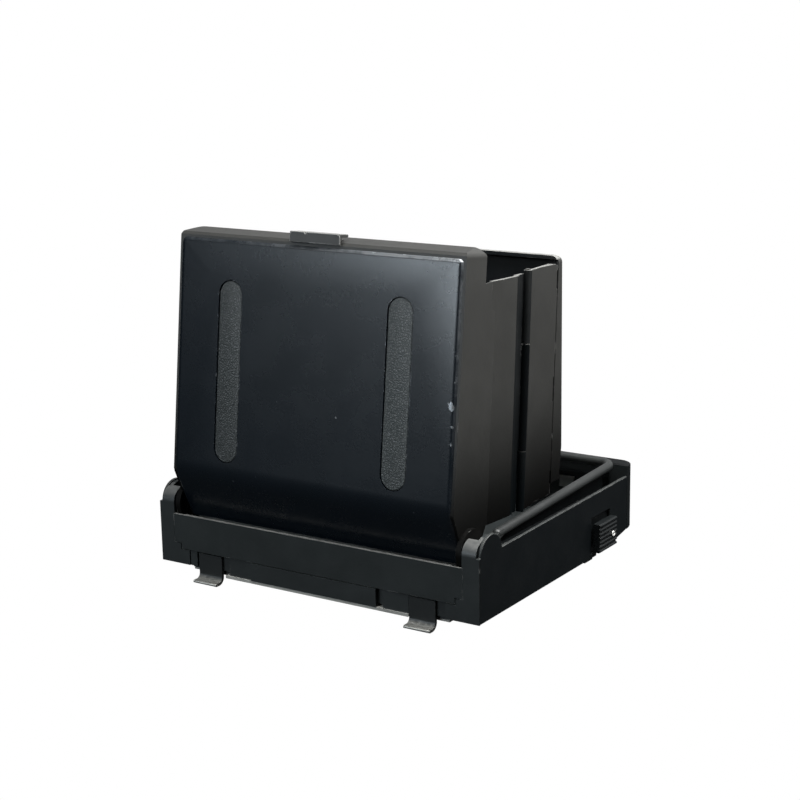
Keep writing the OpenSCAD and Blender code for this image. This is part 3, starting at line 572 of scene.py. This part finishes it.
# ---------------------------------------------------------------- lid cover
def cover_mesh():
    """Pressed sheet cover: flat face, rolled rim, rounded corners and a soft bend near the pivot.
    It is laid out flat first, as across, down from the top edge and depth, and then bent."""
    rim, corner, skirt_depth = 1.5, 1.9, 0.5
    bottom = 80.1
    arcs, rings = 8, 8

    def outline(inset):
        """The sheet's edge, drawn in by inset, with two round top corners."""
        r = max(corner - inset, 0.05)
        pts = []
        for side, start in ((1, 0), (-1, 90)):
            centre_x, centre_down = side * (COVER_X - inset - r), inset + r
            for k in range(arcs + 1):
                a = math.radians(start + 90 * k / arcs)
                pts.append((centre_x + r * math.cos(a), centre_down - r * math.sin(a)))
        pts.append((inset - COVER_X, bottom))
        pts.append((COVER_X - inset, bottom))
        return pts

    bm = bmesh.new()
    loops = []
    for k in range(rings + 1):
        a = math.radians(90 * k / rings)
        inset, depth = rim * (1 - math.cos(a)), rim * (1 - math.sin(a))
        loops.append([bm.verts.new((x, z, depth)) for x, z in outline(inset)])
    count = len(loops[0])
    skirt = [bm.verts.new((v.co.x, v.co.y, rim + skirt_depth)) for v in loops[0]]
    loops.insert(0, skirt)
    for a, b in zip(loops, loops[1:]):
        for i in range(count):
            j = (i + 1) % count
            bm.faces.new((a[i], a[j], b[j], b[i]))
    bm.faces.new(loops[-1])
    # cut rows so that the sheet can bend at the crease
    crease = LID_TOP - CREASE_U
    for k in range(-6, 7):
        at = crease + k * 0.55
        bmesh.ops.bisect_plane(bm, geom=bm.verts[:] + bm.edges[:] + bm.faces[:], plane_co=(0, at, 0),
                               plane_no=(0, 1, 0))
    # the bent path: u falls from the top, then the face turns in towards the pivot. t is how far down the
    # sheet a point lies, d its depth, and n how far behind the flat face the bend takes it
    turn = math.radians(30.4)
    half = 3.3
    radius = 2 * half / turn
    for v in bm.verts:
        t, d = v.co.y, v.co.z
        past = t - (crease - half)
        if past <= 0:
            n, u, tilt = 0.0, LID_TOP - t, 0.0
        else:
            bend = min(past / (2 * half), 1.0) * turn
            u = LID_TOP - (crease - half) - radius * math.sin(bend)
            n = radius * (1 - math.cos(bend))
            extra = max(past - 2 * half, 0.0)
            u -= extra * math.cos(turn)
            n += extra * math.sin(turn)
            tilt = bend
        v.co = lid_point(v.co.x, -LID_FACE + n + d * math.cos(tilt), u + d * math.sin(tilt)) * MM
    bm.normal_update()
    return bm


def lid_cover():
    """The cover's shell, with two shallow recesses for the grip strips."""
    bm = cover_mesh()
    mesh = bpy.data.meshes.new("lid_cover_shell")
    bm.to_mesh(mesh)
    bm.free()
    obj = link_object("lid_cover_shell", mesh)
    cutter = strips_mesh("strip_cutter", STRIP_GAP, 3.0, 0.0)
    boolean = obj.modifiers.new("cut", "BOOLEAN")
    boolean.operation, boolean.object, boolean.solver = "DIFFERENCE", cutter, "EXACT"
    apply_modifiers(obj)
    bpy.data.objects.remove(cutter)
    soft_normals(obj.data, 30)
    return finish_piece(obj, "lid_cover")


def stadium(half_width, low, high, steps=20):
    """Outline, in (x, u), of a strip with round ends."""
    pts = []
    for start, centre in ((0.0, high - half_width), (math.pi, low + half_width)):
        for k in range(steps + 1):
            a = start + math.pi * k / steps
            pts.append((half_width * math.cos(a), centre + half_width * math.sin(a)))
    return pts


def strips_mesh(name, grow, depth, sink, round_over=0.0, sides=(-1, 1)):
    """Round-ended strips, grow wider all round, that reach depth deeper than sink below the cover's face.
    With a round_over they end at sink, with rounded edges; without, they stand 1 mm out, to cut with."""
    levels = [(0.0, depth)]
    if round_over:
        steps = 4
        for k in range(steps + 1):
            a = math.radians(90 * k / steps)
            levels.append((round_over * (1 - math.cos(a)), round_over * (1 - math.sin(a))))
    else:
        levels.append((0.0, -1.0))
    bm = bmesh.new()
    for side in sides:
        rings = []
        for inset, level in levels:
            pts = stadium(STRIP_HALF + grow - inset, STRIP_LO - grow + inset, STRIP_HI + grow - inset)
            n = -LID_FACE + sink + level
            rings.append([bm.verts.new(lid_point(side * STRIP_X + x, n, u) * MM) for x, u in pts])
        count = len(rings[0])
        for a, b in zip(rings, rings[1:]):
            for i in range(count):
                j = (i + 1) % count
                bm.faces.new((a[i], a[j], b[j], b[i]))
        bm.faces.new(rings[-1])
        bm.faces.new(list(reversed(rings[0])))
    bmesh.ops.remove_doubles(bm, verts=bm.verts, dist=1e-7)
    bmesh.ops.recalc_face_normals(bm, faces=bm.faces)
    mesh = bpy.data.meshes.new(name)
    bm.to_mesh(mesh)
    bm.free()
    return link_object(name, mesh)


def grip_strips():
    """The two inlays, set a little below the cover's face."""
    for side, node in ((1, "grip_strip_r"), (-1, "grip_strip_l")):
        obj = strips_mesh(node + "_inlay", grow=0.0, depth=1.1, sink=0.22, round_over=0.3, sides=(side,))
        soft_normals(obj.data, 40)
        finish_piece(obj, node)


# ---------------------------------------------------------------- wires and springs
def helix(centre, axis, radius, pitch, turns, per_turn=20):
    """Points of a coil round axis from centre, in millimetres."""
    axis = Vector(axis).normalized()
    side = axis.orthogonal().normalized()
    other = axis.cross(side)
    pts = []
    for k in range(int(turns * per_turn) + 1):
        a = 2 * math.pi * k / per_turn
        pts.append(Vector(centre) + axis * (pitch * k / per_turn) + side * (radius * math.cos(a))
                   + other * (radius * math.sin(a)))
    return pts


ALONG_X, ALONG_Y = (1, 0, 0), (0, 1, 0)
# where each coil starts, its axis, radius, pitch and turns, its wire's radius and sides, in millimetres
LID_SPRING = ((38.5, PIVOT.y, PIVOT.z), ALONG_X, 1.7, 0.66, 6.2, 0.28, 12)
LATCH_SPRING = ((48.2, 72.5, 1.0), ALONG_Y, 0.66, 0.44, 10.8, 0.17, 10)
MAGNIFIER_SPRING = (lid_point(-3.1, -4, 64), ALONG_X, 1.45, 0.6, 10.3, 0.26, 12)


def coil_spring(node, spring, side=1):
    """Real turns of wire in place of a spring's CAD node; side -1 is the left-hand one."""
    start, axis, radius, pitch, turns, wire, sides = spring
    pts = [Vector((side * p.x, p.y, p.z)) for p in helix(start, axis, radius, pitch, turns)]
    finish_piece(tube(node + "_coil", pts, wire, sides), node)


def springs():
    coil_spring("lid_spring_r", LID_SPRING)
    coil_spring("lid_spring_l", LID_SPRING, -1)
    coil_spring("latch_spring", LATCH_SPRING)
    coil_spring("magnifier_spring", MAGNIFIER_SPRING)


# ---------------------------------------------------------------- small details
def hinge_point(x, s, z):
    """Point of an upright hinge line s behind the lid's hinge line, at world height z."""
    return Vector((x, HINGE_Y + (s + (z - HINGE_Z) * math.sin(HINGE_LEAN)) / math.cos(HINGE_LEAN), z))


SIDES = ((1, "r"), (-1, "l"))
# heights of the long middle knuckle's ends, and the radius of its skin
KNUCKLE_LOW, KNUCKLE_HIGH, KNUCKLE_RADIUS = 37.1, 65.1, 1.14
# low, high and radius of each bright stretch of the middle pin: below and above the knuckle, and its end
PIN_SHOWS = ((36.62, 36.88, 1.0), (65.32, 65.58, 1.0), (84.55, 85.0, 0.66))


def middle_hinge_tube(name, sign, low, high, radius):
    """A round piece on the middle hinge line of one side, between two heights."""
    ends = [hinge_point(sign * HINGE_MID_X, HINGE_STEP, z) for z in (low, high)]
    return tube(name, ends, radius, 24)


def hinge_barrels():
    """Black enamelled skin over the long middle knuckle."""
    for sign, side in SIDES:
        sleeve = middle_hinge_tube("barrel_skin_" + side, sign, KNUCKLE_LOW, KNUCKLE_HIGH, KNUCKLE_RADIUS)
        finish_piece(sleeve, body=BODY_OF["front_panel_" + side], slot="panel_satin", material=BARREL_BLACK)


def settle(obj):
    """Moves an object's placement into its mesh."""
    obj.data.transform(obj.matrix_basis)
    obj.matrix_basis = Matrix()
    return obj


def hinge_pins():
    """Bright ends of the middle hinge pins, and the rings seen between their knuckles."""
    for sign, side in SIDES:
        node = "mid_wire_" + side
        for number, (low, high, radius) in enumerate(PIN_SHOWS):
            ring = middle_hinge_tube("%s_ring_%d" % (node, number), sign, low, high, radius)
            finish_piece(ring, body=BODY_OF[node], slot="steel")


SHOULDER, SHOULDER_RADIUS = (48.2, 15.5, 19.55), 1.3


def bail_shoulders():
    """Rounded start of each bail arm, behind its flattened eye."""
    x, y, z = SHOULDER
    for sign, side in SIDES:
        bpy.ops.mesh.primitive_uv_sphere_add(segments=32, ring_count=16, radius=SHOULDER_RADIUS * MM,
                                             location=(sign * x * MM, y * MM, z * MM))
        ball = bpy.context.object
        ball.name = "bail_shoulder_" + side
        ball.data.shade_smooth()
        finish_piece(settle(ball), body=BODY_OF["bail"], slot="bail_grey")


# the rim's corners, across and up along the lid, with the notch left of the middle
TAB_RIM = ((-7.9, 75.3), (-7.9, 76.9), (-7.7, 77.5), (-7.1, 77.75), (-3.4, 77.75), (-3.1, 77.35),
           (-2.6, 77.35), (-2.3, 77.75), (7.1, 77.75), (7.7, 77.5), (7.9, 76.9), (7.9, 75.3))
TAB_FACE = 9.6


def tab_outline():
    """The lift tab's pressed rim, a thin pale line that is a painted highlight."""
    outline = tube("tab_outline", [lid_point(x, -TAB_FACE, u) for x, u in TAB_RIM], 0.13, 8)
    finish_piece(outline, body=BODY_OF["lid_tab"], slot="tray_satin", material=TAB_RIM_HIGHLIGHT)


KNOB_RING = Vector((54.6, 69.9, 5.5))


def knob_mark():
    """The small white ring on the release knob."""
    bpy.ops.mesh.primitive_torus_add(major_radius=0.62 * MM, minor_radius=0.2 * MM, major_segments=32,
                                     minor_segments=8, location=KNOB_RING * MM,
                                     rotation=(0, math.radians(90), 0))
    ring = bpy.context.object
    ring.name = "knob_ring_mark"
    finish_piece(settle(ring), body=BODY_OF["release_knob"], slot="knob_black", material=MARK_WHITE)


# ---------------------------------------------------------------- everything else from the frame
# how much each node's edges are rounded, in millimetres
ROUNDED = {
    "base_frame": 0.3, "side_plate_r": 0.22, "side_plate_l": 0.22, "front_plate": 0.22, "mount_plate": 0.12,
    "hook_r": 0.15, "hook_l": 0.15, "plate_screws": 0.08, "rear_bracket": 0.1, "lid_pin_r": 0.15,
    "lid_pin_l": 0.15, "release_knob": 0.14, "body_latch": 0.12, "lid_tray": 0.25, "lid_tab": 0.18,
    "tab_spring": 0.06, "hinge_wire_fr": 0.12, "hinge_wire_fl": 0.12, "magnifier_frame": 0.2,
    "magnifier_pin": 0.15, "magnifier_catch": 0.15, "front_panel_r": 0.14, "front_panel_l": 0.14,
    "mid_wire_r": 0.15, "mid_wire_l": 0.15, "rear_panel_r": 0.14, "rear_panel_l": 0.14, "back_panel": 0.18,
    "hinge_wire_br": 0.12, "hinge_wire_bl": 0.12,
}
WALL_TOP_ROUND = 1.1


def on_wall_top(middle):
    """True for the outer top edge of the base's rear wall."""
    return middle.z > 21.0 and middle.y > 85.5


def rounded_nodes():
    """Every node that keeps its CAD shape, with its edges rounded."""
    for node, width in ROUNDED.items():
        wide = (on_wall_top, WALL_TOP_ROUND) if node == "base_frame" else None
        finish_piece(rounded_copy(node, width, wide=wide), node, material=OWN_MATERIAL.get(node))


def plain_nodes():
    """Nodes whose own surface is round already: they only get their material."""
    for node in ("bail", "magnifier_lens"):
        obj = NODES[node]
        obj.data.materials.clear()
        obj.data.materials.append(MATERIALS[SLOT_OF[node]])


# ---------------------------------------------------------------- stage, light, camera
# how brightly the surroundings light the hood from the front and from behind, and how little the floor does
WORLD_FRONT, WORLD_REAR = 0.02, 0.4
FLOOR_BOUNCE = (0.018, 0.019, 0.020)
# in metres: the floor's middle, just below the hooks, its radius, and where the soft boxes point
FLOOR_PLACE, FLOOR_RADIUS = (0, 0.045, -0.0039), 2.5
LIGHT_TARGET = (0, 0.04, 0.04)
# name, azimuth from the front towards +X, elevation, distance and size in metres, watts, colour
SOFT_BOXES = (
    ("key_front_left", -18, 34, 1.1, (0.6, 0.5), 2.6, (0.97, 0.99, 1.0)),
    ("low_front_left", -23, 11.2, 1.2, (0.3, 0.09), 2.9, (0.82, 0.92, 1.0)),
    ("overhead", 60, 78, 1.0, (0.8, 0.8), 13.5, (1.0, 1.0, 0.985)),
    ("right_rear", 105, 50, 0.30, (0.2, 0.2), 1.3, (1.0, 1.0, 0.985)),
)
# the camera's focal length, place in millimetres, and turn in degrees
FOCAL_LENGTH = 79.36
CAMERA_PLACE = Vector((266.2, -359.6, 158.4))
CAMERA_AZIMUTH, CAMERA_ELEVATION, CAMERA_ROLL = 33.38, 13.40, -0.98


def outward(azimuth, elevation):
    """Unit vector that points out at azimuth from the front towards +X and elevation, in degrees."""
    a, e = math.radians(azimuth), math.radians(elevation)
    return Vector((math.sin(a) * math.cos(e), -math.cos(a) * math.cos(e), math.sin(e)))


def camera_switch(tree, seen, otherwise):
    """Shows the first shader to the camera, and lets the second light the object."""
    path = add(tree, "ShaderNodeLightPath")
    mix = add(tree, "ShaderNodeMixShader")
    tree.links.new(path.outputs["Is Camera Ray"], mix.inputs[0])
    tree.links.new(otherwise.outputs[0], mix.inputs[1])
    tree.links.new(seen.outputs[0], mix.inputs[2])
    return mix.outputs[0]


def stage():
    """A floor that looks pure white, and reflects as little back as a dark table would."""
    bpy.ops.mesh.primitive_circle_add(vertices=128, radius=FLOOR_RADIUS, fill_type="NGON",
                                      location=FLOOR_PLACE)
    floor = bpy.context.object
    floor.name = "floor"
    mat, tree, shader = new_material("pale_floor")
    tree.nodes.remove(shader)
    shader = add(tree, "ShaderNodeEmission")
    shader.inputs["Strength"].default_value = 1.0
    dim = add(tree, "ShaderNodeBsdfDiffuse")
    dim.inputs["Color"].default_value = (*FLOOR_BOUNCE, 1)
    out = next(n for n in tree.nodes if n.type == "OUTPUT_MATERIAL")
    tree.links.new(camera_switch(tree, shader, dim), out.inputs["Surface"])
    floor.data.materials.append(mat)


def area_light(name, place, size, power, colour):
    """A rectangular soft box that faces the hood."""
    light = bpy.data.lights.new(name, "AREA")
    light.shape, light.size, light.size_y = "RECTANGLE", size[0], size[1]
    light.energy, light.color = power, colour
    obj = bpy.data.objects.new(name, light)
    obj.location = place
    obj.rotation_euler = (Vector(LIGHT_TARGET) - place).to_track_quat("-Z", "Y").to_euler()
    bpy.context.scene.collection.objects.link(obj)


def lights():
    """Surroundings that look white, and light the hood from behind more than from the front, and the
    soft boxes."""
    world = bpy.data.worlds.new("studio")
    bpy.context.scene.world = world
    world.use_nodes = True
    tree = world.node_tree
    tree.nodes.clear()
    out = tree.nodes.new("ShaderNodeOutputWorld")
    seen = add(tree, "ShaderNodeBackground")
    seen.inputs["Color"].default_value = (1, 1, 1, 1)
    lit = add(tree, "ShaderNodeBackground")
    lit.inputs["Color"].default_value = (0.97, 0.98, 1.0, 1)
    towards = add(tree, "ShaderNodeSeparateXYZ")
    tree.links.new(add(tree, "ShaderNodeTexCoord").outputs["Generated"], towards.inputs[0])
    strength = ramp(tree, towards.outputs["Y"], -0.15, 0.6, WORLD_FRONT, WORLD_REAR)
    tree.links.new(strength, lit.inputs["Strength"])
    tree.links.new(camera_switch(tree, seen, lit), out.inputs["Surface"])
    for name, azimuth, elevation, distance, size, power, colour in SOFT_BOXES:
        area_light(name, Vector(LIGHT_TARGET) + distance * outward(azimuth, elevation), size, power, colour)


def camera():
    """A long-focus view from the front right, a little above the hood."""
    cam = bpy.data.cameras.new("view")
    cam.lens, cam.sensor_width = FOCAL_LENGTH, 36.0
    cam.clip_start, cam.clip_end = 0.01, 10.0
    obj = bpy.data.objects.new("view", cam)
    bpy.context.scene.collection.objects.link(obj)
    back = outward(CAMERA_AZIMUTH, CAMERA_ELEVATION)
    azimuth, roll = math.radians(CAMERA_AZIMUTH), math.radians(CAMERA_ROLL)
    right = Vector((math.cos(azimuth), math.sin(azimuth), 0.0))
    up = back.cross(right)
    c, s = math.cos(roll), math.sin(roll)
    right, up = c * right + s * up, -s * right + c * up
    turn = Matrix((right, up, back)).transposed().to_4x4()
    obj.matrix_world = Matrix.Translation(CAMERA_PLACE * MM) @ turn
    bpy.context.scene.camera = obj
    bpy.context.scene.view_settings.view_transform = "Standard"


rounded_nodes()
plain_nodes()
lid_cover()
grip_strips()
springs()
hinge_barrels()
hinge_pins()
bail_shoulders()
tab_outline()
knob_mark()
stage()
lights()
camera()
